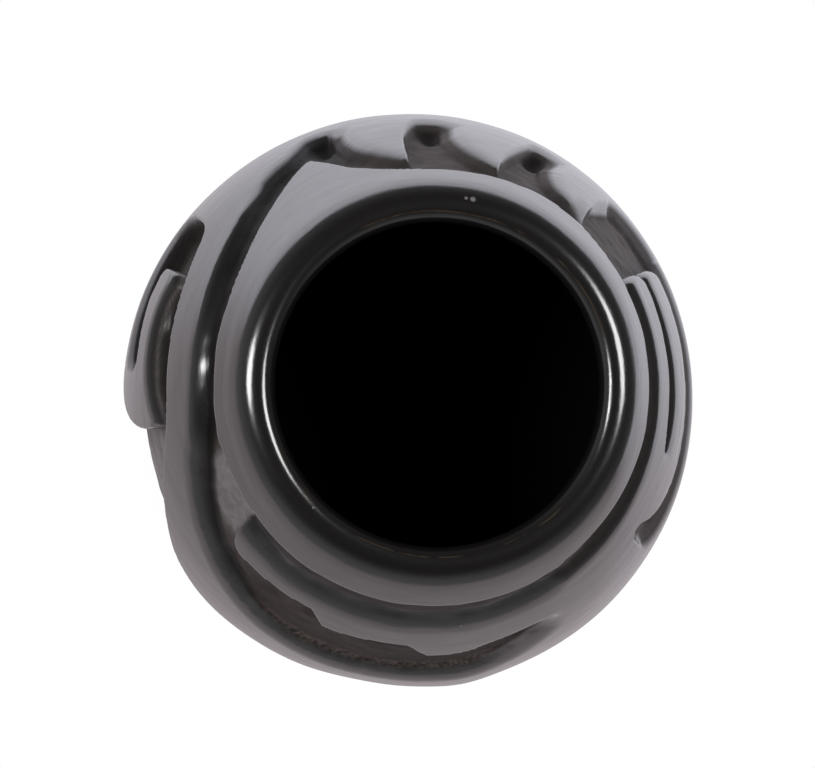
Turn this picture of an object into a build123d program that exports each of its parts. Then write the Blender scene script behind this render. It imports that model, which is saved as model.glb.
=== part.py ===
from build123d import *
from math import cos, hypot, radians, sin, tan
import os

# Carved blackware jar, hand built: a base pat, a stack of wall coils and a rim coil,
# luted one on top of the other, then carved through the shoulder as one surface.
# Frame: +Z up, origin in the middle of the foot, +X to the right of the view from above.

# Form of the jar, in mm
JAR_HEIGHT = 132.0
BELLY_RADIUS = 70.0
BELLY_HEIGHT = 62.0
FOOT_RADIUS = 32.0
NECK_RADIUS = 51.2
NECK_DROP = 10.5
LIP_TOP_RADIUS = 41.0
LIP_ROUNDING = 3.7
WALL = 10.0
FLOOR_THICKNESS = 9.0

# Clay members
BASE_HEIGHT = 22.0
RIM_HEIGHT = 12.0
COIL_COUNT = 8

# Carving: depths measured towards the axis, the band that holds the design, and the plain
# ring that closes it below
SCROLL_DEPTH = 5.6
FIELD_DEPTH = 3.6
LINE_DEPTH = 2.8
RIM_BAND = 8.0
DESIGN_BOTTOM = 44.0
BORDER_BOTTOM = 32.0
BORDER_WIDTH = 4.5

# The design is laid out on a grid: degrees round the jar, and rows up from its bottom
GRID_ROWS = 80

# Directions, in degrees above level, of the profile at the foot and at the neck
FOOT_SLOPE = 34.0
NECK_SLOPE = 60.0
# Length of the curve handles as a share of the chord
FULLNESS = 0.36

neck_height = JAR_HEIGHT - NECK_DROP
band_top = JAR_HEIGHT - RIM_BAND
row_height = (band_top - DESIGN_BOTTOM) / GRID_ROWS
border_row = (BORDER_BOTTOM - DESIGN_BOTTOM) / row_height
coil_height = (JAR_HEIGHT - BASE_HEIGHT - RIM_HEIGHT) / COIL_COUNT
near = 0.35 * BELLY_RADIUS
far = 1.1 * BELLY_RADIUS

up = (0, 1)
down = (0, -1)
inward = (-1, 0)
foot_rise = (cos(radians(FOOT_SLOPE)), sin(radians(FOOT_SLOPE)))
neck_rise = (-cos(radians(NECK_SLOPE)), sin(radians(NECK_SLOPE)))
neck_fall = (-neck_rise[0], -neck_rise[1])

# Outlines of the recesses. Each is a ring of stretches, and each stretch a run of
# (degrees, row) points: two points make a straight cut, more make a curved one.
NECK_GROOVE_LEFT = [
    [(-144.5, 77.3), (-120, 77.6), (-90, 78.1), (-57, 78.8)],
    [(-57, 78.8), (-57, 72)],
    [(-57, 72), (-75, 71), (-95, 70.7), (-120, 71), (-144.5, 71.6)],
    [(-144.5, 71.6), (-144.5, 77.3)],
]
NECK_GROOVE_RIGHT = [
    [(-57, 78.8), (-40, 79.8), (-22, 80), (5, 79.9), (29.3, 79.6)],
    [(29.3, 79.6), (29.3, 75.4)],
    [(29.3, 75.4), (5, 75.3), (-20, 74.9), (-40, 73.6), (-57, 72)],
    [(-57, 72), (-57, 78.8)],
]
STEP_FIELD = [
    [(-150, 77.3), (-144.5, 77.3)],
    [(-144.5, 77.3), (-144.5, 71.6)],
    [(-144.5, 71.6), (-143.7, 67.3), (-142, 64.4), (-139, 62.8)],
    [(-139, 62.8), (-118.5, 64.2)],
    [(-118.5, 64.2), (-114.6, 59.2)],
    [(-114.6, 59.2), (-94.5, 60.2)],
    [(-94.5, 60.2), (-90, 55.4)],
    [(-90, 55.4), (-84, 55.4), (-76, 57.4), (-67, 59.4)],
    [(-67, 59.4), (-63.2, 58.4), (-62.2, 54.8), (-65.5, 50.3)],
    [(-65.5, 50.3), (-72, 44.3), (-80, 40.3), (-90, 38.2), (-103, 38.2), (-115, 39.8),
     (-127, 44), (-138, 50.5), (-150, 58)],
    [(-150, 58), (-150, 77.3)],
]
WAVE_FIELD = [
    [(117, 58.3), (123, 62.6), (131, 68.2), (140, 72.5), (152, 75.7), (165, 77.2), (182, 77.5),
     (210, 77.3)],
    [(210, 77.3), (210, 58)],
    [(210, 58), (204, 61.7), (197, 65.5), (189, 68.3), (178, 70), (166, 69.8), (152, 67.5),
     (140, 63.3), (130, 57.5), (121, 52.6), (117.5, 51)],
    [(117.5, 51), (117, 58.3)],
]
FEATHER_FIELD = [
    [(46, 78.4), (60, 78), (75, 78.6), (88, 79), (98, 77.7), (110, 71.2)],
    [(110, 71.2), (113, 65.7), (117, 58.3)],
    [(117, 58.3), (121.8, 54.6)],
    [(121.8, 54.6), (118.3, 50), (115, 45.3), (112.3, 39.5), (110.7, 35.8)],
    [(110.7, 35.8), (109.7, 35), (108.8, 36)],
    [(108.8, 36), (108.8, 44), (109.4, 53), (108.2, 61), (104, 67.5), (99, 72.3), (95.3, 74.7)],
    [(95.3, 74.7), (95.6, 70), (94.8, 61.5), (91.7, 51), (88.8, 43.5)],
    [(88.8, 43.5), (86.8, 41.4), (85.3, 43)],
    [(85.3, 43), (85.7, 51), (86, 58), (84.3, 64), (79.5, 69.8), (71.8, 75.2)],
    [(71.8, 75.2), (72.3, 71), (70.2, 63), (66.6, 52), (64.3, 43.6)],
    [(64.3, 43.6), (62.7, 41.7), (61.4, 43)],
    [(61.4, 43), (61.8, 51), (62.4, 60), (60.6, 66.5), (55, 71.2), (46, 75.5)],
    [(46, 75.5), (46, 78.4)],
]
END_FIELD = [
    [(29.3, 79.6), (38, 79.4), (46, 78.4)],
    [(46, 78.4), (46, 75.5)],
    [(46, 75.5), (47.9, 70), (46.7, 62), (43.8, 53), (41.5, 48.6)],
    [(41.5, 48.6), (36, 47.8), (27.5, 48.5)],
    [(27.5, 48.5), (27.5, 53.9)],
    [(27.5, 53.9), (28.6, 57.5), (28.6, 64.5)],
    [(28.6, 64.5), (28.6, 67.1)],
    [(28.6, 67.1), (29.3, 70.5), (29.3, 75.4)],
    [(29.3, 75.4), (29.3, 79.6)],
]
UPPER_LINE = [
    [(28.6, 67.1), (14, 67.4), (1, 67.8), (-8, 67.4), (-13.5, 66.2)],
    [(-13.5, 66.2), (-15.6, 64.8), (-13.5, 63.9)],
    [(-13.5, 63.9), (0, 64.1), (14, 64.4), (28.6, 64.5)],
    [(28.6, 64.5), (28.6, 67.1)],
]
HOOKED_LINE = [
    [(27.5, 53.9), (15, 54.3), (0, 54), (-14, 53.1), (-22, 53.3), (-28, 56), (-31, 59.4)],
    [(-31, 59.4), (-33.4, 62), (-35, 59.4)],
    [(-35, 59.4), (-33.8, 53.5), (-29, 48), (-20, 46.5), (0, 48), (14, 49), (27.5, 48.5)],
    [(27.5, 48.5), (27.5, 53.9)],
]
SCROLL_FIELD = [
    [(187.5, 54.2), (181, 50.4), (172, 47.4), (162, 46.7), (156.5, 48.6), (153, 53)],
    [(153, 53), (153, 43)],
    [(153, 43), (154.2, 37.7), (158, 35.6), (165, 36.2), (172.4, 37.6)],
    [(172.4, 37.6), (174.4, 34), (172, 29.4)],
    [(172, 29.4), (164, 27.4), (153, 26.4), (145.5, 27.4)],
    [(145.5, 27.4), (141.8, 32), (141.6, 41), (143, 48.6), (146.5, 52.3)],
    [(146.5, 52.3), (154, 55), (164, 57), (176, 57.9), (183, 57.4), (187.5, 56.2)],
    [(187.5, 56.2), (187.5, 54.2)],
]
UNDER_WAVE_LEFT = [
    [(187.5, 56.2), (193, 52.8), (200, 46.2), (207, 38.8), (213, 31.6), (220, 25.8)],
    [(220, 25.8), (220, border_row)],
    [(220, border_row), (118, border_row)],
    [(118, border_row), (118, border_row + 3)],
    [(118, border_row + 3), (129, border_row + 7.5), (141, 0.5), (153, 5.5), (165, 11.5), (175.5, 18),
     (182.5, 26.5), (186.2, 36), (187.5, 45)],
    [(187.5, 45), (187.5, 56.2)],
]
UNDER_WAVE_RIGHT = [
    [(220, 25.8), (230, 21.6), (245, 18.6), (260, 14.8), (275, 9.6), (292, 2.5), (308, border_row + 8),
     (322, border_row + 3)],
    [(322, border_row + 3), (322, border_row)],
    [(322, border_row), (220, border_row)],
    [(220, border_row), (220, 25.8)],
]


def sweep_line(start, leaving, end, arriving):
    """Curve that leaves the start in one direction and reaches the end in another."""
    handle = FULLNESS * hypot(end[0] - start[0], end[1] - start[1])
    first = (start[0] + handle * leaving[0], start[1] + handle * leaving[1])
    second = (end[0] - handle * arriving[0], end[1] - handle * arriving[1])
    return Bezier(start, first, second, end)


def outer_line(inset):
    """Outside of the jar from the foot to the top of the lip, moved towards the axis."""
    foot = (FOOT_RADIUS - inset, 0)
    belly = (BELLY_RADIUS - inset, BELLY_HEIGHT)
    neck = (NECK_RADIUS - inset, neck_height)
    lip = (LIP_TOP_RADIUS - inset, JAR_HEIGHT)
    sweep_line(foot, foot_rise, belly, up)
    sweep_line(belly, up, neck, neck_rise)
    sweep_line(neck, neck_rise, lip, inward)


def solid_form(inset):
    """The jar's outside as a full solid, used to end a cut at an even depth."""
    with BuildPart() as form:
        with BuildSketch(Plane.XZ):
            with BuildLine():
                Line((0, 0), (FOOT_RADIUS - inset, 0))
                outer_line(inset)
                Line((LIP_TOP_RADIUS - inset, JAR_HEIGHT), (0, JAR_HEIGHT))
                Line((0, JAR_HEIGHT), (0, 0))
            make_face()
        revolve(axis=Axis.Z)
    return form.part


def stretch_line(points, middle, distance):
    """One stretch of a recess outline, on a plane at a distance from the axis."""
    placed = [(distance * tan(radians(a - middle)), DESIGN_BOTTOM + row * row_height) for a, row in points]
    if len(placed) == 2:
        Line(*placed)
    else:
        steps = [hypot(c[0] - b[0], c[1] - b[1]) for b, c in zip(points, points[1:])]
        marks = [sum(steps[:i]) / sum(steps) for i in range(len(points))]
        add(Edge.make_spline(placed, parameters=marks))


def recess(outline, floor):
    """Cutter with walls that point at the axis, down to the form of its floor."""
    angles = [a for stretch in outline for a, row in stretch]
    middle = (min(angles) + max(angles)) / 2
    facing = (cos(radians(middle)), sin(radians(middle)), 0)
    across = (-facing[1], facing[0], 0)
    with BuildPart() as cutter:
        for distance in (near, far):
            origin = (distance * facing[0], distance * facing[1], 0)
            with BuildSketch(Plane(origin=origin, x_dir=across, z_dir=facing)):
                with BuildLine():
                    for stretch in outline:
                        stretch_line(stretch, middle, distance)
                make_face()
        loft(ruled=True)
        add(floor, mode=Mode.SUBTRACT)
    return cutter.part


os.makedirs("parts", exist_ok=True)

scroll_floor = solid_form(SCROLL_DEPTH)
field_floor = solid_form(FIELD_DEPTH)
line_floor = solid_form(LINE_DEPTH)

cuts = []
for outline in (STEP_FIELD, WAVE_FIELD, FEATHER_FIELD, END_FIELD):
    cuts.append(recess(outline, field_floor))
for outline in (NECK_GROOVE_LEFT, NECK_GROOVE_RIGHT, UPPER_LINE, HOOKED_LINE):
    cuts.append(recess(outline, line_floor))
for outline in (SCROLL_FIELD, UNDER_WAVE_LEFT, UNDER_WAVE_RIGHT):
    cuts.append(recess(outline, scroll_floor))

with BuildPart() as border_ring:
    with BuildSketch(Plane.XZ):
        with Locations((0, BORDER_BOTTOM)):
            Rectangle(far, BORDER_WIDTH, align=(Align.MIN, Align.MIN))
    revolve(axis=Axis.Z)
    add(field_floor, mode=Mode.SUBTRACT)

with BuildPart() as carved_jar:
    with BuildSketch(Plane.XZ):
        with BuildLine():
            Line((0, 0), (FOOT_RADIUS, 0))
            outer_line(0)
            lip_top = (LIP_TOP_RADIUS, JAR_HEIGHT)
            throat = (LIP_TOP_RADIUS - LIP_ROUNDING, JAR_HEIGHT - LIP_ROUNDING)
            RadiusArc(lip_top, throat, -LIP_ROUNDING)
            inner_neck = (NECK_RADIUS - WALL, neck_height)
            inner_belly = (BELLY_RADIUS - WALL, BELLY_HEIGHT)
            inner_foot = (FOOT_RADIUS - WALL, FLOOR_THICKNESS)
            sweep_line(throat, down, inner_neck, neck_fall)
            sweep_line(inner_neck, neck_fall, inner_belly, down)
            sweep_line(inner_belly, down, inner_foot, inward)
            Line(inner_foot, (0, FLOOR_THICKNESS))
            Line((0, FLOOR_THICKNESS), (0, 0))
        make_face()
    revolve(axis=Axis.Z)
    for cut in cuts:
        add(cut, mode=Mode.SUBTRACT)
    add(border_ring.part, mode=Mode.SUBTRACT)

with BuildPart() as base_pat:
    add(carved_jar.part)
    Cylinder(far, BASE_HEIGHT, align=(Align.CENTER, Align.CENTER, Align.MIN), mode=Mode.INTERSECT)
base_pat.part.label = "base_pat"
export_step(base_pat.part, "parts/base_pat.step")

for number in range(1, COIL_COUNT + 1):
    with BuildPart() as wall_coil:
        add(carved_jar.part)
        with Locations((0, 0, BASE_HEIGHT + (number - 1) * coil_height)):
            Cylinder(far, coil_height, align=(Align.CENTER, Align.CENTER, Align.MIN), mode=Mode.INTERSECT)
    wall_coil.part.label = f"wall_coil_{number}"
    export_step(wall_coil.part, f"parts/wall_coil_{number}.step")

with BuildPart() as rim_coil:
    add(carved_jar.part)
    with Locations((0, 0, JAR_HEIGHT - RIM_HEIGHT)):
        Cylinder(far, 2 * RIM_HEIGHT, align=(Align.CENTER, Align.CENTER, Align.MIN), mode=Mode.INTERSECT)
rim_coil.part.label = "rim_coil"
export_step(rim_coil.part, "parts/rim_coil.step")
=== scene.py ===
from math import cos, degrees, hypot, pi, radians, sin, sqrt

import bpy
import numpy as np
from mathutils import Matrix, Vector
from mathutils.bvhtree import BVHTree


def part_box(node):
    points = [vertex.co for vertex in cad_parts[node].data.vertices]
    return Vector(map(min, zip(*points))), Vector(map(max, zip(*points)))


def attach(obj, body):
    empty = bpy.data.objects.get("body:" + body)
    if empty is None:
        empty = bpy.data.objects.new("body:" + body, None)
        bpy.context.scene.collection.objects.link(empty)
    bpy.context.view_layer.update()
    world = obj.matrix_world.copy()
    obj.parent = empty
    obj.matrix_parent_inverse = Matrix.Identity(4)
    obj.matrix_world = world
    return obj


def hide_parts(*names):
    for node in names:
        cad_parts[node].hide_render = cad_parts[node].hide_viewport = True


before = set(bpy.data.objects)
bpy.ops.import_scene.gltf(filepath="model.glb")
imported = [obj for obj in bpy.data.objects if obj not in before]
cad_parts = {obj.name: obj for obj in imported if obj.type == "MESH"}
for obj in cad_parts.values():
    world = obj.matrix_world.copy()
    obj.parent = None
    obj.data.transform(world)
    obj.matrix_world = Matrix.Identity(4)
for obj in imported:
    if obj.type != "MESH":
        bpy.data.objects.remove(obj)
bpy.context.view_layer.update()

# The burnished skin is one sheet of rings, from the middle of the foot, up the outside, over
# the lip and down the inside. It is read off the solids, given hand-worked edges, and then
# cut at the joints. Lengths are in millimetres until the points are placed. Places round the
# jar are in degrees from +X towards +Y.
MM = 1000  # in a metre
COLUMNS = 1080  # points in a ring
STEPS = 30  # rows from one joint to the next
BRIM_ROWS = 17  # rows from the last joint up to where the lip begins
LIP_RINGS = 56
MEAN_RADIUS = 60  # where the width of a column is taken
LOWEST_ROW = 4.0  # no row is lower than this
TOP_GAP = 1.4  # from the highest row to the top of the lip
PLAIN_TOP = 6.0  # nothing is carved below this height
SURVEY = 12  # every so many columns are read for the uncut form
FORM_DEGREE = 18  # of the smooth curve through the uncut form
LIP_DEGREE = 13  # and of the one round the lip
FAR = 120.0  # where rays towards the axis start
LIP_FAR = 25.0  # where rays towards the middle of the lip start
NUDGE = 0.013  # keeps rays off the edges of the solids
LEAST_CUT = 0.12  # less than this is a facet, not a cut
FULL_CUT = 3.2  # a spot that is cut this deep counts as fully carved
STEEP = 1.1  # a row that steps in by more than this is a ledge
MARKS = ("carved", "polish", "inside", "dirt", "dust")

order = sorted(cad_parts, key=lambda name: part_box(name)[0].z)
joints = [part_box(name)[1].z * MM for name in order[:-1]]
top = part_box(order[-1])[1].z * MM
angles = np.arange(COLUMNS) * 2 * pi / COLUMNS


def solids_tree():
    points = []
    faces = []
    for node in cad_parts.values():
        start = len(points)
        points += [vertex.co * MM for vertex in node.data.vertices]
        faces += [[start + i for i in face.vertices] for face in node.data.polygons]
    return BVHTree.FromPolygons(points, faces)


solids = solids_tree()


def outside_radius(z, angle):
    out = Vector((cos(angle), sin(angle), 0))
    hit = solids.ray_cast(out * FAR + Vector((0, 0, z + NUDGE)), -out)
    return FAR - hit[3]


def inside_radius(z):
    out = Vector((cos(angles[1]), sin(angles[1]), 0))
    return solids.ray_cast(Vector((0, 0, z - NUDGE)), out)[3]


def inside_floor(r):
    start = joints[0] * 1.5
    return start - solids.ray_cast(Vector((r, NUDGE, start)), Vector((0, 0, -1)))[3]


def lip_reach(r, z, turn):
    """How far the clay reaches from the middle of the lip, a way round it."""
    away = Vector((cos(turn), 0, sin(turn)))
    hit = solids.ray_cast(Vector((r, NUDGE, z)) + away * LIP_FAR, -away)
    return LIP_FAR - hit[3]


def fair(x, y, degree):
    """Smooth curve through points read off flat facets."""
    return np.polynomial.chebyshev.Chebyshev.fit(x, y, degree)


def upper_hull(x, y):
    """y of the tight string over the points, at every x."""
    kept = []
    for point in zip(x, y):
        while len(kept) > 1:
            (ax, ay), (bx, by) = kept[-2:]
            if (bx - ax) * (point[1] - ay) < (by - ay) * (point[0] - ax):
                break
            kept.pop()
        kept.append(point)
    return np.interp(x, [p[0] for p in kept], [p[1] for p in kept])


# Even rows that pass through every joint, and the form that the carving is cut into
row_step = (joints[1] - joints[0]) / STEPS
column_step = 2 * pi * MEAN_RADIUS / COLUMNS
below = int((joints[0] - LOWEST_ROW) / row_step)
above = int((top - TOP_GAP - joints[-1]) / row_step)
levels = joints[0] + row_step * np.arange(-below, (len(joints) - 1) * STEPS + above)
widest = [max(outside_radius(z, angle) for angle in angles[::SURVEY]) for z in levels]
form = fair(levels, upper_hull(levels, widest), FORM_DEGREE)
spread = degrees(1) * angles[None, :] + 0 * levels[:, None]
height = levels[:, None] + 0 * angles[None, :]


def slide(field, rows, columns):
    """The field moved up by some rows and round by some columns."""
    index = np.clip(np.arange(len(field)) - rows, 0, len(field) - 1)
    return np.roll(field, columns, 1)[index]


def steps_within(size):
    """Every move by rows and columns that is shorter than this, and its length."""
    reach = int(size / min(row_step, column_step))
    for rows in range(-reach, reach + 1):
        for columns in range(-reach, reach + 1):
            gap = hypot(rows * row_step, columns * column_step)
            if gap < size:
                yield rows, columns, gap


def ball(field, size, grow):
    """The field after a ball of this size rolls under it, or over it to grow it."""
    out = field
    for rows, columns, gap in steps_within(size):
        rise = size - sqrt(size * size - gap * gap)
        moved = slide(field, rows, columns)
        out = np.maximum(out, moved - rise) if grow else np.minimum(out, moved + rise)
    return out


def disc(field, size, grow):
    """The most, or the least, of the field within this distance."""
    out = field
    for rows, columns, _ in steps_within(size):
        moved = slide(field, rows, columns)
        out = np.maximum(out, moved) if grow else np.minimum(out, moved)
    return out


def soften(field, times):
    for _ in range(times):
        field = (slide(field, 1, 0) + 2 * field + slide(field, -1, 0)) / 4
        field = (slide(field, 0, 1) + 2 * field + slide(field, 0, -1)) / 4
    return field


def even(field, reach, times):
    """The field spread out sideways over some columns."""
    for _ in range(times):
        field = sum(slide(field, 0, k) for k in range(-reach, reach + 1)) / (2 * reach + 1)
    return field


def grain(seed, tall, wide):
    """Even random field of unit strength, with lumps of this height and width."""
    rows = len(levels)
    noise = np.fft.rfft2(np.random.default_rng(seed).normal(size=(rows, COLUMNS)))
    up = np.fft.fftfreq(rows, row_step)[:, None] * tall
    around = np.fft.rfftfreq(COLUMNS, column_step)[None, :] * wide
    field = np.fft.irfft2(noise * np.exp(-(up ** 2 + around ** 2) * pi ** 2 / 2), (rows, COLUMNS))
    return field / field.std()


def fade(value, low, high):
    """0 on the low side and 1 on the high side, straight between. It falls if low is more."""
    return np.clip((value - low) / (high - low), 0, 1)


def blend(field, other, share):
    """The field, turned into another by this share at each spot."""
    return field + (other - field) * share


def most(*fields):
    return np.maximum.reduce(fields)


def off_angle(turn, at):
    """Degrees from one place round the jar to another, the shorter way."""
    return (turn - at + 180) % 360 - 180


def zone(low, high, bottom, ceiling, edge=3.0):
    """1 in a patch given by degrees and heights, fading to 0 across its edge."""
    turn = off_angle(spread, (low + high) / 2)
    around = ((high - low) / 2 - np.abs(turn)) / edge
    up = np.minimum(height - bottom, ceiling - height) / edge
    return np.clip(np.minimum(around, up) + 0.5, 0, 1)


def slope_into(field, rows, columns, reach, share):
    """The ground beside a recess, on one side of it, worn down towards it."""
    step = abs(rows) * row_step + abs(columns) * column_step
    count = int(reach / step)
    beside = []
    for k in range(1, count + 1):
        worn = share * (1 - k / (count + 1)) ** 2
        beside.append(worn * slide(field, rows * k, columns * k))
    return most(*beside)


# How deep each spot is cut. A carver's hand wanders a little off the drawn line. A spot on an
# edge is read at several places, so that the edge doesn't step.
WANDER = 0.16
WANDER_LUMPS = (9, 14)
EDGE_RISE = 0.35
EDGE_ROWS = (-0.375, -0.125, 0.125, 0.375)
EDGE_COLUMNS = (-0.33, 0.0, 0.33)
wander_up = WANDER * grain(1, *WANDER_LUMPS)
wander_round = WANDER * grain(2, *WANDER_LUMPS) / MEAN_RADIUS


def cut_depth(i, j, rows=0.0, columns=0.0):
    z = levels[i] + wander_up[i, j] + rows * row_step
    angle = angles[j] + wander_round[i, j] + columns * 2 * pi / COLUMNS
    depth = form(z) - outside_radius(z, angle)
    return depth if depth > LEAST_CUT else 0.0


cut = np.array([[cut_depth(i, j) for j in range(COLUMNS)] for i in range(len(levels))])
rise = most(*(np.abs(cut - slide(cut, a, b)) for a, b in ((1, 0), (0, 1), (-1, 0), (0, -1))))
for i, j in zip(*np.nonzero(rise > EDGE_RISE)):
    parts = [cut_depth(i, j, a, b) for a in EDGE_ROWS for b in EDGE_COLUMNS]
    cut[i, j] = sum(parts) / len(parts)

# The carving sits one row lower than drawn. Its corners and edges are rounded by the scraper,
# most of all at the ends of bars.
EDGE_ROUND = 0.45
CORNER_ROUND = 0.6
OUTLINE_ROUND = 0.9
END_ROUND = 2.6
cut = slide(cut, -1, 0)
cut = (slide(cut, 0, 1) + 2 * cut + slide(cut, 0, -1)) / 4
ends = most(zone(18, 34, 88, 125), zone(146, 162, 82, 104))
blunt = disc(disc(cut, END_ROUND, True), END_ROUND, False)
cut = disc(disc(cut, OUTLINE_ROUND, True), OUTLINE_ROUND, False)
cut = blend(cut, blunt, ends)
cut = ball(ball(cut, EDGE_ROUND, True), EDGE_ROUND, False)
cut = ball(ball(cut, CORNER_ROUND, False), CORNER_ROUND, True)

# Floors that meet run into one another
FLOOR_DEPTH = 2.3
FLOOR_PASSES = 14
deep = (cut > FLOOR_DEPTH).astype(float)
joined = soften(cut * deep, FLOOR_PASSES) / np.maximum(soften(deep, FLOOR_PASSES), 1e-6)
cut = blend(cut, joined, deep)

# Each slot between the feathers stops at a height, in a pit: from, to, height, middle of the pit
SLOTS = ((50, 76, 90.5, 64.0), (76, 104, 91.5, 88.3), (104, 124, 85.5, 111.5))
PIT_DEPTH = 1.6
PIT_WIDE = 2.4
PIT_TALL = 4.5
PER_DEGREE = 1.05  # along the wall
pits = 0 * cut
for low, high, stop, at in SLOTS:
    within = zone(low, high, 60, 150, 1.0)
    shut = fade(height, stop - 0.8, stop + 2.0)
    shut = shut * shut * (3 - 2 * shut)
    cut = cut * (1 - within * (1 - shut))
    away = ((spread - at) * PER_DEGREE / PIT_WIDE) ** 2 + ((height - stop - PIT_TALL) / PIT_TALL) ** 2
    pit = within * np.exp(-away) * fade(cut, 1.0, 2.0)
    pits = most(pits, pit)
    cut = cut + PIT_DEPTH * pit

# The feathers are scooped out on one side, and the last panel is cut back square to its end.
# Wear has a reach and a share of the depth.
SCOOPED = (6.0, 0.85)
NARROW_WEAR = (2.2, 0.6)
PANEL_DEPTH = 3.5
feathers = zone(49, 114, 88, 130, 6.0)
scooped = slope_into(cut, 0, -1, *SCOOPED) * feathers
bar_ends = slope_into(cut, 0, -1, *NARROW_WEAR) * zone(18, 30, 88, 125)
cut = most(cut, scooped, bar_ends)
squared = fade(spread, 45.8, 42.8) * fade(height, 90.0, 93.5) * zone(36, 60, 80, 111, 2.0)
cut = most(cut, PANEL_DEPTH * squared)

# A ledge that faces up is worn into a soft shoulder; one that faces down keeps its line
SHOULDER_WEAR = (4.4, 0.78)
shoulders = (
    (zone(107, 194, 76, 126), NARROW_WEAR),
    (zone(-57, 29, 86, 126), NARROW_WEAR),
    (zone(29, 52, 60, 126), (9.0, 0.9)),
    (zone(146, 190, 76, 99), (3.2, 0.9)),
    (zone(-37, 28, 72, 99), (12.0, 1.0)),
    (zone(111, 131, 76, 106, 9.0), (5.0, 0.9)),
)
shoulder = slope_into(cut, -1, 0, *SHOULDER_WEAR)
for patch, wear in shoulders:
    shoulder = blend(shoulder, slope_into(cut, -1, 0, *wear), patch)
cut = most(cut, shoulder)

# Lines that run level are evened out along their length, over so many columns
EVEN_PASSES = 3
level_lines = (
    (zone(157, 198, 104, 127), 5),
    (zone(-50, 24, 112, 127), 5),
    (zone(-8, 23, 103, 113), 5),
    (zone(222, 300, 111, 127), 5),
    (zone(158, 184, 83, 97), 3),
    (zone(146, 172, 62, 80), 4),
    (zone(282, 303, 80, 112), 5),
)
for patch, reach in level_lines:
    cut = blend(cut, even(cut, reach, EVEN_PASSES), patch)

# The neck comes down one row further over the groove under it, and two rows on the left
for low, high in ((160, 200), (165, 196), (-86, -54), (26, 66)):
    cut = blend(cut, np.minimum(cut, slide(cut, -1, 0)), zone(low, high, 116, 127))

# Slopes that face up are smoothed once more, clear of the lines that face down
fall = slide(cut, 1, 0) - slide(cut, -1, 0)
faces_up = fade(-fall, 0.2, 0.5)
faces_up = most(*(slide(faces_up, a, 0) for a in range(-3, 4)))
faces_down = fade(fall, 0.3, 0.6)
faces_down = most(*(slide(faces_down, a, 0) for a in range(-2, 3)))
cut = blend(cut, soften(cut, 4), soften(faces_up * (1 - faces_down), 1))

# The floors are left matte, though slopes and grooves catch some polish, and a few floors were
# rubbed a little. Where the cutting is rough, slopes and shallower ground are matte too: at the
# feathers, on the ground below the lines and the last panel, where the long groove turns in
# under the feathers, at the scroll and along the lines.
fall = slide(cut, 1, 0) - slide(cut, -1, 0)
slopes = soften(fade(-fall, 0.30, 0.55) * (1 - faces_down), 2)
limb = zone(-37, 30, 70, 95)
under = most(limb, zone(28, 52, 60, 94))
corner = zone(107, 132, 76, 106, 9.0)
scroll = zone(152, 190, 84, 100)
lines = zone(-57, 25, 98, 126, 8.0)
rough_cut = most(feathers, under, corner, 0.9 * scroll, 0.8 * lines,
                 zone(27, 53, 60, 126), zone(140, 176, 58, 84))
ease = most(1.5 * feathers, 1.8 * under, 2.05 * limb, 1.8 * corner, 1.2 * scroll, 1.6 * lines,
            1.5 * zone(140, 176, 58, 80))
bare = fade(cut + ease, 2.1, 3.0)
bare = bare * (1 - slopes * (1 - rough_cut) * fade(cut, 3.1, 2.6))
rubbed_floor = most(0.25 * zone(-57, 21, 96, 126, 8.0), 0.15 * scroll,
                    0.35 * zone(184, 218, 30, 100, 24.0))

# Soil settles along the foot of one shoulder; along the foot of another, a crease is painted black as
# shade
lower = np.minimum.reduce([slide(cut, k, 0) for k in range(1, 7)])
fold = soften(fade(cut, 2.0, 2.6) * fade(cut - lower, 0.3, 1.1), 2)
dirt = fold * zone(236, 287, 78, 100, 10.0)
painted_crease_shade = fold * zone(186, 226, 88, 120, 9.0)
polish = np.minimum(1 - bare * (1 - rubbed_floor), 1 - 0.8 * most(dirt, painted_crease_shade))

# Pale colour on a few floors: partly dust, partly a painted reflection of the white table. Less of it
# on slopes that face up, which paints them darker as shade
dust = most(
    0.94 * zone(194, 219, 102, 124, 9.0),
    0.9 * zone(180, 222, 20, 100, 26.0),
    0.36 * zone(217, 300, 80, 112, 9.0),
    0.5 * zone(29, 114, 80, 126, 9.0),
    0.25 * zone(140, 175, 66, 104, 9.0),
    0.22 * zone(217, 303, 112, 126, 9.0),
)
dust = dust * fade(cut + 0.8 * most(feathers, under), 1.0, 2.0)
dust = dust * (1 - 0.85 * soften(slopes, 4) * (1 - 0.6 * feathers))
# Less in the pits and in the corner, which paints them darker as shade
dust = dust * (1 - 0.9 * pits) * (1 - corner)
dust = most(dust, 0.36 * zone(-57, 29, 76, 126, 8.0) * fade(cut, 0.2, 1.2))
# Along the scroll's groove, a soft pale stripe is a painted highlight
dust = most(dust, 0.8 * scroll * np.exp(-((cut - 2.4) / 1.1) ** 2))

# Floors keep the marks of the scraper, and the polished wall has a faint ripple
scraped = 0.10 * grain(3, 2.0, 3.0) + 0.12 * grain(4, 5.0, 9.0)
cut = cut + fade(cut, 1.6, 2.6) * scraped
wall = form(levels)[:, None] - cut + 0.010 * grain(5, 1.6, 7.0)

# Every ring: its radius, its height and its marks
rings = []


def add_ring(r, z, **marks):
    full = np.ones(COLUMNS)
    rings.append([r * full, z * full] + [marks.get(label, 0.0) * full for label in MARKS])
    return len(rings) - 1


# The foot with its rounded edge, and the plain wall over it
foot_radius = outside_radius(0.0, angles[1])
for part, z in ((0, 0), (0.35, 0), (0.65, 0), (0.85, 0), (0.95, 0), (0.98, 0.04), (0.995, 0.2)):
    add_ring(foot_radius * part, z, polish=0.3)
for z in np.linspace(0.6, PLAIN_TOP - 0.4, 11):
    add_ring(outside_radius(z, angles[1]), z, polish=1.0)

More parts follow.
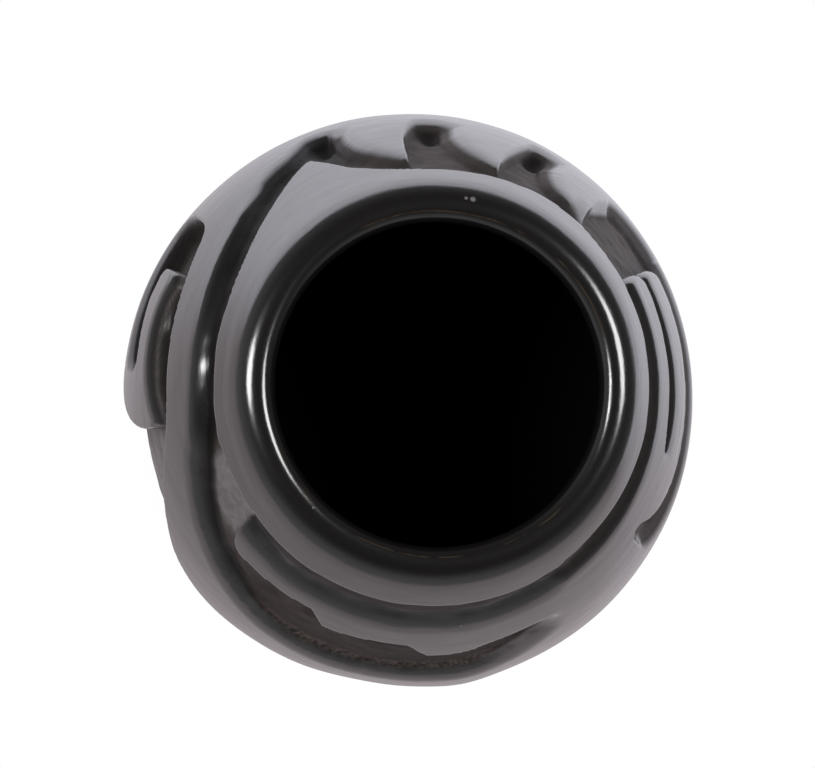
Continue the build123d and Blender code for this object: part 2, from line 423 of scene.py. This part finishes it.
# The carved wall
first = int(np.searchsorted(levels, PLAIN_TOP))
last = below + (len(joints) - 1) * STEPS + BRIM_ROWS
outer_joint = {}
for i in range(first, last + 1):
    carved = fade(cut[i], 0, FULL_CUT)
    # The pits and the crease get the inside's near-black, as painted shade
    shade = 0.8 * most(pits[i], painted_crease_shade[i])
    at = add_ring(wall[i], levels[i], carved=carved, polish=polish[i], inside=shade,
                  dirt=dirt[i], dust=dust[i])
    joint, rows_over = divmod(i - below, STEPS)
    if rows_over == 0 and 0 <= joint < len(joints):
        outer_joint[joint] = at

# The lip, by the way that it turns over: polished outside, matte inside
brim = levels[last]
lip_r = (float(form(brim)) + inside_radius(brim)) / 2
turns = np.linspace(0, pi, LIP_RINGS)
reaches = fair(turns, [lip_reach(lip_r, brim, turn) for turn in turns], LIP_DEGREE)
lip_start = len(rings)
for turn in turns[1:-1]:
    away = float(reaches(turn))
    inside = float(fade(turn, 2.55, 3.0))
    add_ring(lip_r + away * cos(turn), brim + away * sin(turn), inside=inside, polish=1 - inside)

# Down the inside, and in over its floor
inner_joint = {}
for z in np.linspace(brim, joints[-1], 5)[:-1]:
    add_ring(inside_radius(z), z, inside=1.0)
for k in range(len(joints) - 1, 0, -1):
    for z in np.linspace(joints[k], joints[k - 1], 7)[:-1]:
        at = add_ring(inside_radius(z), z, inside=1.0)
        inner_joint.setdefault(k, at)
for z in (joints[0], joints[0] - 2, joints[0] - 4):
    at = add_ring(inside_radius(z), z, inside=1.0)
    inner_joint.setdefault(0, at)
well = rings[-1][0][0]
for part in (0.94, 0.86, 0.76, 0.64, 0.5, 0.33, 0.15, 0.0):
    add_ring(well * part, inside_floor(well * part), inside=1.0)

R = np.array([ring[0] for ring in rings])
Z = np.array([ring[1] for ring in rings])
marks = {label: np.array([ring[2 + k] for ring in rings]) for k, label in enumerate(MARKS)}

# The wall runs smoothly into the lip
span = slice(lip_start - 5, lip_start + 8)
before = slice(span.start - 1, span.stop - 1)
after = slice(span.start + 1, span.stop + 1)
for _ in range(6):
    for field in (R, Z):
        field[span] = (field[before] + 2 * field[span] + field[after]) / 4

# A hand-built wall is never quite true. It has long swells: size, how many round the jar, how
# they lean, where they start. It has flats and bulges on the belly: where, half width, size.
SWELLS = ((0.06, 3, 0.045, 1.9), (0.05, 5, -0.06, 0.7),
          (0.035, 9, 0.11, 2.2), (0.02, 17, -0.21, 5.1))
BULGES = ((6, 38, -1.15), (-80, 7, 0.7), (-101, 8, -0.4), (-140, 16, 0.4))
NECK_BULGE = (185, 45, 0.6)
BELLY = (66, 22)  # height, half width
T = angles[None, :]
swell = sum(size * np.sin(count * T + lean * Z + start) for size, count, lean, start in SWELLS)


def bulge(at, width, size):
    return size * np.exp(-(off_angle(degrees(1) * T, at) / width) ** 2)


belly = np.exp(-((Z - BELLY[0]) / BELLY[1]) ** 2)
for shape in BULGES:
    swell = swell + belly * bulge(*shape)
swell = swell + bulge(*NECK_BULGE) * fade(Z, 125, 130)
R = R + swell * fade(R, 16, 56)

P = np.stack([R * np.cos(T), R * np.sin(T), Z], -1) / MM


def unit(v):
    return v / np.maximum(np.linalg.norm(v, axis=-1, keepdims=True), 1e-12)


# Smooth normals lean on the shorter step, so a polished face stays even up to its edge. The
# quads of a ledge are flat.
climb = np.diff(P, axis=0)
stride = np.maximum(np.linalg.norm(climb, axis=-1, keepdims=True), 1e-9)
along = np.gradient(P, axis=0)
along[1:-1] = climb[1:] / stride[1:] * stride[:-1] + climb[:-1] / stride[:-1] * stride[1:]
across = (np.roll(P, -1, 1) - np.roll(P, 1, 1)) / 2
N = np.cross(across, along)
N[0] = (0, 0, -1)
N[-1] = (0, 0, 1)
N = unit(N)
drop = np.abs(np.diff(R, axis=0))
on_wall = (Z[:-1] > PLAIN_TOP) & (np.arange(len(drop)) < lip_start)[:, None]
ledge = (np.maximum(drop, np.roll(drop, -1, 1)) > STEEP) & on_wall
ledge_facing = unit(np.cross(np.roll(P, -1, 1)[:-1] - P[:-1], climb + np.roll(climb, -1, 1)))


def ring_faces(index, runs, closed):
    """Quads from ring to ring, and the normals of their corners. The step from one run of
    rings to the next is a flat luting face."""
    count = len(index)
    ends = np.cumsum([b - a + 1 for a, b in runs]) - 1
    column = np.arange(COLUMNS)
    beside = (column + 1) % COLUMNS
    quads = []
    facing = []
    for t in range(count - 1 if closed else count):
        u = (t + 1) % count
        corners = ((t, column), (t, beside), (u, beside), (u, column))
        quads.append(np.stack([ring * COLUMNS + place for ring, place in corners], -1))
        if t in ends:
            luting = (0, 0, 1) if t + 1 < count else (0, 0, -1)
            facing.append(np.tile(luting, (COLUMNS * 4, 1)))
        else:
            smooth = np.stack([N[index[ring]][place] for ring, place in corners], 1)
            flat = ledge_facing[index[t]][:, None, :]
            facing.append(np.where(ledge[index[t]][:, None, None], flat, smooth).reshape(-1, 3))
    return np.concatenate(quads), np.concatenate(facing)


def close_on_axis(points, values, quads, facing):
    """The first and the last ring lie on the axis. They become one point each."""
    remap = np.arange(len(points))
    remap[:COLUMNS] = 0
    remap[-COLUMNS:] = len(points) - COLUMNS
    keep = np.r_[0, np.arange(COLUMNS, len(points) - COLUMNS + 1)]
    place = np.full(len(points), -1)
    place[keep] = np.arange(len(keep))
    faces = []
    chosen = []
    for f, quad in enumerate(place[remap[quads]].tolist()):
        corners = [c for c in range(4) if quad[c] not in quad[:c]]
        faces.append([quad[c] for c in corners])
        chosen += [4 * f + c for c in corners]
    values = {label: values[label][keep] for label in MARKS}
    return points[keep], values, faces, facing[chosen]


def make_piece(name, runs, material):
    """A closed piece from runs of rings, which join at flat luting faces. A piece that starts
    and ends on the axis closes there."""
    index = np.concatenate([np.arange(a, b + 1) for a, b in runs])
    closed = index[0] == 0
    points = P[index].reshape(-1, 3)
    values = {label: marks[label][index].ravel() for label in MARKS}
    quads, facing = ring_faces(index, runs, closed)
    faces = quads.tolist()
    if closed:
        points, values, faces, facing = close_on_axis(points, values, quads, facing)
    mesh = bpy.data.meshes.new(name)
    mesh.from_pydata(points.tolist(), [], faces)
    mesh.shade_smooth()
    mesh.normals_split_custom_set(facing.tolist())
    for label in MARKS:
        attribute = mesh.attributes.new(label, "FLOAT", "POINT")
        attribute.data.foreach_set("value", values[label].astype(np.float32))
    mesh.materials.append(material)
    piece = bpy.data.objects.new(name, mesh)
    bpy.context.scene.collection.objects.link(piece)
    return piece


class Shading:
    """Adds nodes to the tree of one material or world. Inputs are sockets or plain values."""

    def __init__(self, tree):
        self.tree = tree

    def feed(self, node, key, value):
        if isinstance(value, bpy.types.NodeSocket):
            self.tree.links.new(value, node.inputs[key])
        else:
            node.inputs[key].default_value = value

    def add(self, kind, inputs=None, **settings):
        """The outputs of a new node."""
        node = self.tree.nodes.new("ShaderNode" + kind)
        for key, value in settings.items():
            setattr(node, key, value)
        for key, value in (inputs or {}).items():
            self.feed(node, key, value)
        return node.outputs

    def math(self, operation, a, b=0.0):
        return self.add("Math", {0: a, 1: b}, operation=operation)[0]

    def times(self, a, b):
        return self.math("MULTIPLY", a, b)

    def plus(self, a, b):
        return self.math("ADD", a, b)

    def vector(self, operation, a, b=(0, 0, 0)):
        return self.add("VectorMath", {0: a, 1: b}, operation=operation)["Vector"]

    def measure(self, operation, a, b=(0, 0, 0)):
        return self.add("VectorMath", {0: a, 1: b}, operation=operation)["Value"]

    def ramp(self, value, low, high, start=0.0, end=1.0):
        """start below low, end above high, smooth between."""
        inputs = {0: value, 1: low, 2: high, 3: start, 4: end}
        return self.add("MapRange", inputs, interpolation_type="SMOOTHSTEP")[0]

    def mix_colour(self, factor, a, b):
        return self.add("Mix", {0: factor, 6: a, 7: b}, data_type="RGBA")[2]

    def mix_value(self, factor, a, b):
        return self.add("Mix", {0: factor, 2: a, 3: b}, data_type="FLOAT")[0]

    def noise(self, vector, scale, detail=4.0, rough=0.55):
        inputs = {"Vector": vector, "Scale": scale, "Detail": detail, "Roughness": rough}
        return self.add("TexNoise", inputs)[0]

    def emission(self, colour, strength):
        return self.add("Emission", {"Color": colour, "Strength": strength})[0]


# The clay's colours, as darker and lighter where there are two. From here on, lengths are in
# metres, but for the flecks on the lip: degrees, radius, height and size in millimetres.
POLISHED = ((0.0095, 0.0080, 0.0078, 1), (0.0145, 0.0120, 0.0118, 1))
SCRAPED = ((0.0085, 0.0066, 0.0058, 1), (0.0140, 0.0112, 0.0098, 1))
# Pale dust; on some floors the same colour is a painted reflection of the table and a painted
# highlight
DUST_AND_SHEEN = ((0.110, 0.086, 0.078, 1), (0.280, 0.258, 0.266, 1))
CRUMBS = (0.006, 0.005, 0.0045, 1)
SOIL = (0.215, 0.178, 0.152, 1)
TAN = (0.065, 0.048, 0.034, 1)
GRIT = (0.38, 0.37, 0.35, 1)
# Near-black of the inside, also painted into the pits and a crease as shade
INSIDE_AND_SHADE = (0.0040, 0.0038, 0.0035, 1)
BROW_RADIUS = 0.0402
BROW_LEVEL = (0.1308, 0.1312)
FLECKS = ((79.4, 43.1, 131.6, 0.75), (81.5, 43.1, 131.6, 0.5), (224.1, 40.6, 131.9, 0.36))
FLECK = 0.001


def rubbed_brow(n, place, radius, level):
    """The lip is rubbed thin and tan along its inner brow, in places."""
    wander = n.times(n.noise(place, 70.0, 2.0), 0.0010)
    off = n.math("ABSOLUTE", n.math("SUBTRACT", n.plus(radius, wander), BROW_RADIUS))
    line = n.times(n.ramp(off, 0.00010, 0.00026, 1.0, 0.0), n.ramp(level, *BROW_LEVEL))
    return n.times(line, n.ramp(n.noise(place, 110.0, 3.0), 0.46, 0.60))


def pale_grit(n, place, crumbs):
    """Pale grit here and there, and a few larger flecks on the lip."""
    cells = n.add("TexVoronoi", {"Vector": place, "Scale": 130.0})
    chosen = n.ramp(n.add("SeparateColor", {0: cells["Color"]})[0], 0.84, 0.86)
    grit = n.times(chosen, n.ramp(cells["Distance"], 0.020, 0.034, 1.0, 0.0))
    for turn, r, z, size in FLECKS:
        spot = (cos(radians(turn)) * r / MM, sin(radians(turn)) * r / MM, z / MM)
        near = n.plus(n.measure("DISTANCE", place, spot), n.times(crumbs, 0.5 * size * FLECK))
        fleck = n.ramp(near, 0.6 * size * FLECK, 1.4 * size * FLECK, 0.8, 0.0)
        grit = n.math("MAXIMUM", grit, fleck)
    return grit


def floor_colour(n, place, cloud, crumbs, dirt, dust):
    """Matte clay with dust and painted reflection, dark crumbs and soil."""
    floor = n.mix_colour(n.ramp(cloud, 0.40, 0.70), *SCRAPED)
    powder = n.times(dust, n.ramp(n.noise(place, 150.0, 5.0, 0.6), 0.25, 0.68, 0.84, 1.14))
    floor = n.mix_colour(powder, floor, n.mix_colour(n.ramp(dust, 0.5, 0.95), *DUST_AND_SHEEN))
    floor = n.mix_colour(n.ramp(crumbs, 0.35, 0.65), n.mix_colour(0.22, floor, CRUMBS), floor)
    soil = n.times(dirt, n.ramp(n.noise(place, 1100.0, 4.0), 0.34, 0.70, 0.0, 0.7))
    return n.mix_colour(soil, floor, SOIL)


def rubbing_streaks(n, flat, radius, level):
    """Long streaks round the jar, the way that it was rubbed."""
    around = n.vector("MULTIPLY", n.vector("NORMALIZE", flat), (7, 7, 7))
    climb = n.math("SUBTRACT", level, n.times(radius, 0.6))
    climb = n.add("CombineXYZ", {2: n.times(climb, 900.0)})[0]
    return n.noise(n.vector("ADD", around, climb), 1.0, 4.0, 0.6)


def floor_bump(n, place, streaks, carved):
    fine = n.times(n.noise(place, 1100.0, 5.0), 0.4)
    lumps = n.times(n.noise(place, 330.0, 3.0), 0.7)
    rugged = n.plus(n.plus(fine, n.times(streaks, 0.04)), lumps)
    rugged = n.times(rugged, n.ramp(carved, 0.4, 0.9))
    return n.add("Bump", {"Height": rugged, "Strength": 0.6, "Distance": 0.0006})[0]


def blackware():
    """Black clay. Its polish is a coat, which the carved floors mostly lack."""
    material = bpy.data.materials.new("blackware")
    material.use_nodes = True
    n = Shading(material.node_tree)
    shader = material.node_tree.nodes["Principled BSDF"]
    carved, polish, inside, dirt, dust = [
        n.add("Attribute", attribute_name=label)["Fac"] for label in MARKS]
    place = n.add("TexCoord")["Object"]
    level = n.add("SeparateXYZ", {0: place})[2]
    flat = n.vector("MULTIPLY", place, (1, 1, 0))
    radius = n.measure("LENGTH", flat)
    cloud = n.noise(place, 60.0)
    crumbs = n.noise(place, 520.0, 6.0, 0.65)
    rubbed = rubbed_brow(n, place, radius, level)
    grit = pale_grit(n, place, crumbs)
    streaks = rubbing_streaks(n, flat, radius, level)

    polished = n.mix_colour(n.noise(place, 25.0), *POLISHED)
    floor = floor_colour(n, place, cloud, crumbs, dirt, dust)
    matte = n.times(n.ramp(carved, 0.10, 0.45), n.math("SUBTRACT", 1.0, polish))
    colour = n.mix_colour(matte, polished, floor)
    # The inside's near-black also paints shade into the pits and a crease
    for mask, paint in ((rubbed, TAN), (grit, GRIT), (inside, INSIDE_AND_SHADE)):
        colour = n.mix_colour(mask, colour, paint)
    n.feed(shader, "Base Color", colour)
    n.feed(shader, "Roughness", n.mix_value(inside, n.mix_value(cloud, 0.50, 0.66), 0.85))
    n.feed(shader, "Specular IOR Level", 0.15)
    n.feed(shader, "Normal", floor_bump(n, place, streaks, carved))

    unworn = n.math("SUBTRACT", 1.0, n.math("MAXIMUM", rubbed, grit))
    coat = n.times(n.times(polish, unworn), n.ramp(streaks, 0.30, 0.60, 0.92, 1.0))
    n.feed(shader, "Coat Weight", coat)
    n.feed(shader, "Coat Roughness", 0.17)
    n.feed(shader, "Coat IOR", 1.85)
    rubs = n.add("Bump", {"Height": streaks, "Strength": 0.10, "Distance": 0.0003})[0]
    n.feed(shader, "Coat Normal", rubs)
    return material


clay = blackware()
for k, name in enumerate(order):
    if k == 0:
        runs = [(0, outer_joint[0]), (inner_joint[0], len(rings) - 1)]
    elif k == len(order) - 1:
        runs = [(outer_joint[k - 1], inner_joint[k - 1])]
    else:
        runs = [(outer_joint[k - 1], outer_joint[k]), (inner_joint[k], inner_joint[k - 1])]
    piece = make_piece(name + "_skin", runs, clay)
    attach(piece, "root")
    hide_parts(name)

# The table, as the polish shows it, glows with painted light: cool and bright on the far side, warm
# on the near side, and with a painted shadow close round the jar
TOWARD_LIGHT = (cos(radians(70)), sin(radians(70)), 0)
WARM = (1.05, 0.945, 0.985, 1)
COOL = (0.985, 0.975, 1.06, 1)
WHITE = (1, 1, 1, 1)


def table_surface():
    """White to the camera, with a painted shadow under the jar; reflections see painted light and
    shade.
    """
    material = bpy.data.materials.new("table")
    material.use_nodes = True
    material.node_tree.nodes.clear()
    n = Shading(material.node_tree)
    place = n.add("TexCoord")["Object"]
    side = n.measure("DOT_PRODUCT", place, TOWARD_LIGHT)
    away = n.measure("LENGTH", place)
    # Painted light, brighter on the far side, and a painted shadow near the jar
    painted_light_and_shadow = n.times(n.ramp(side, -0.075, 0.165, 0.0, 1.15), n.ramp(away, 0.07, 0.26, 0.25, 1.0))
    painted_light_and_shadow = n.plus(painted_light_and_shadow, n.ramp(away, 0.06, 0.13, 0.45, 0.74))
    pale = n.emission(n.mix_colour(n.ramp(side, -0.10, 0.12), WARM, COOL), painted_light_and_shadow)
    closed_in = n.add("AmbientOcclusion", {"Distance": 0.025}, samples=8)["AO"]
    white = n.emission(WHITE, n.ramp(closed_in, 0.1, 0.8, 0.45, 1.0))
    seen = n.add("LightPath")["Is Camera Ray"]
    surface = n.add("MixShader", {0: seen, 1: pale, 2: white})[0]
    n.add("OutputMaterial", {"Surface": surface})
    return material


bpy.ops.mesh.primitive_plane_add(size=6.0, location=(0, 0, 0))
table = bpy.context.object
table.name = "table"
table.data.materials.append(table_surface())

# A dark room with a soft light low on the near side, and white where the camera looks past it
NEAR_SIDE = (-0.62, -0.78, 0)
ROOM_GLOW = 0.012
world = bpy.data.worlds.new("studio")
bpy.context.scene.world = world
world.use_nodes = True
sky = Shading(world.node_tree)
background = world.node_tree.nodes["Background"]
way = sky.add("TexCoord")["Generated"]
low_down = sky.ramp(sky.add("SeparateXYZ", {0: way})[2], 0.15, 0.85, 1.0, 0.0)
near_side = sky.measure("DOT_PRODUCT", way, NEAR_SIDE)
low_light = sky.times(low_down, sky.ramp(near_side, -0.7, 0.8, 0.05, 0.36))
seen = sky.add("LightPath")["Is Camera Ray"]
sky.feed(background, "Strength", sky.mix_value(seen, sky.plus(low_light, ROOM_GLOW), 1.0))
sky.feed(background, "Color", WHITE)

LAMP_AIM = Vector((0, 0, 0.13))
LAMP_DISTANCE = 1.2
LAMP_POWER = 4.2


def softbox(name, turn, lean, width, depth):
    """Lamp over the jar: which way it stands, how far it leans from straight above."""
    light = bpy.data.lights.new(name, "AREA")
    light.shape = "ELLIPSE"
    light.size = width
    light.size_y = depth
    light.energy = LAMP_POWER
    lamp = bpy.data.objects.new(name, light)
    flat = Vector((cos(radians(turn)), sin(radians(turn)), 0))
    away = flat * sin(radians(lean)) + Vector((0, 0, cos(radians(lean))))
    lamp.location = LAMP_AIM + away * LAMP_DISTANCE
    lamp.rotation_euler = (-away).to_track_quat("-Z", "Y").to_euler()
    bpy.context.scene.collection.objects.link(lamp)


softbox("softbox_left", 171, 39, 0.34, 0.36)
softbox("softbox_right", 15, 34, 0.40, 0.40)

# Camera almost straight above, leaning a little to the lower left of the picture. The belly is
# 285 pixels in radius, and its middle is a little off the middle of the picture.
TILT = radians(6.65)
LEAN = radians(207.5)
DISTANCE = 1.0
BELLY_RADIUS = 0.070
BELLY_LEVEL = 0.062
BELLY_PIXELS = 285.0
SHIFT_LEFT_PIXELS = 1.0
SHIFT_UP_PIXELS = 16.0
PICTURE_WIDTH = 815
SENSOR = 36.0
per_metre = BELLY_PIXELS / BELLY_RADIUS


def upright(back):
    """The camera's right and up, with right along +X as far as can be."""
    right = (Vector((1, 0, 0)) - back * back.x).normalized()
    return right, back.cross(right)


middle = Vector((0, 0, BELLY_LEVEL))
back = Vector((sin(TILT) * cos(LEAN), sin(TILT) * sin(LEAN), cos(TILT)))
place = middle + back * DISTANCE
right, up = upright(back)
aim = middle - right * (SHIFT_LEFT_PIXELS / per_metre) + up * (SHIFT_UP_PIXELS / per_metre)
back = (place - aim).normalized()
right, up = upright(back)
lens = bpy.data.cameras.new("camera")
lens.sensor_width = SENSOR
lens.lens = per_metre * DISTANCE * SENSOR / PICTURE_WIDTH
camera = bpy.data.objects.new("camera", lens)
turned = Matrix((right, up, back)).transposed().to_4x4()
camera.matrix_world = Matrix.Translation(place) @ turned
bpy.context.scene.collection.objects.link(camera)
bpy.context.scene.camera = camera
bpy.context.scene.view_settings.view_transform = "Standard"
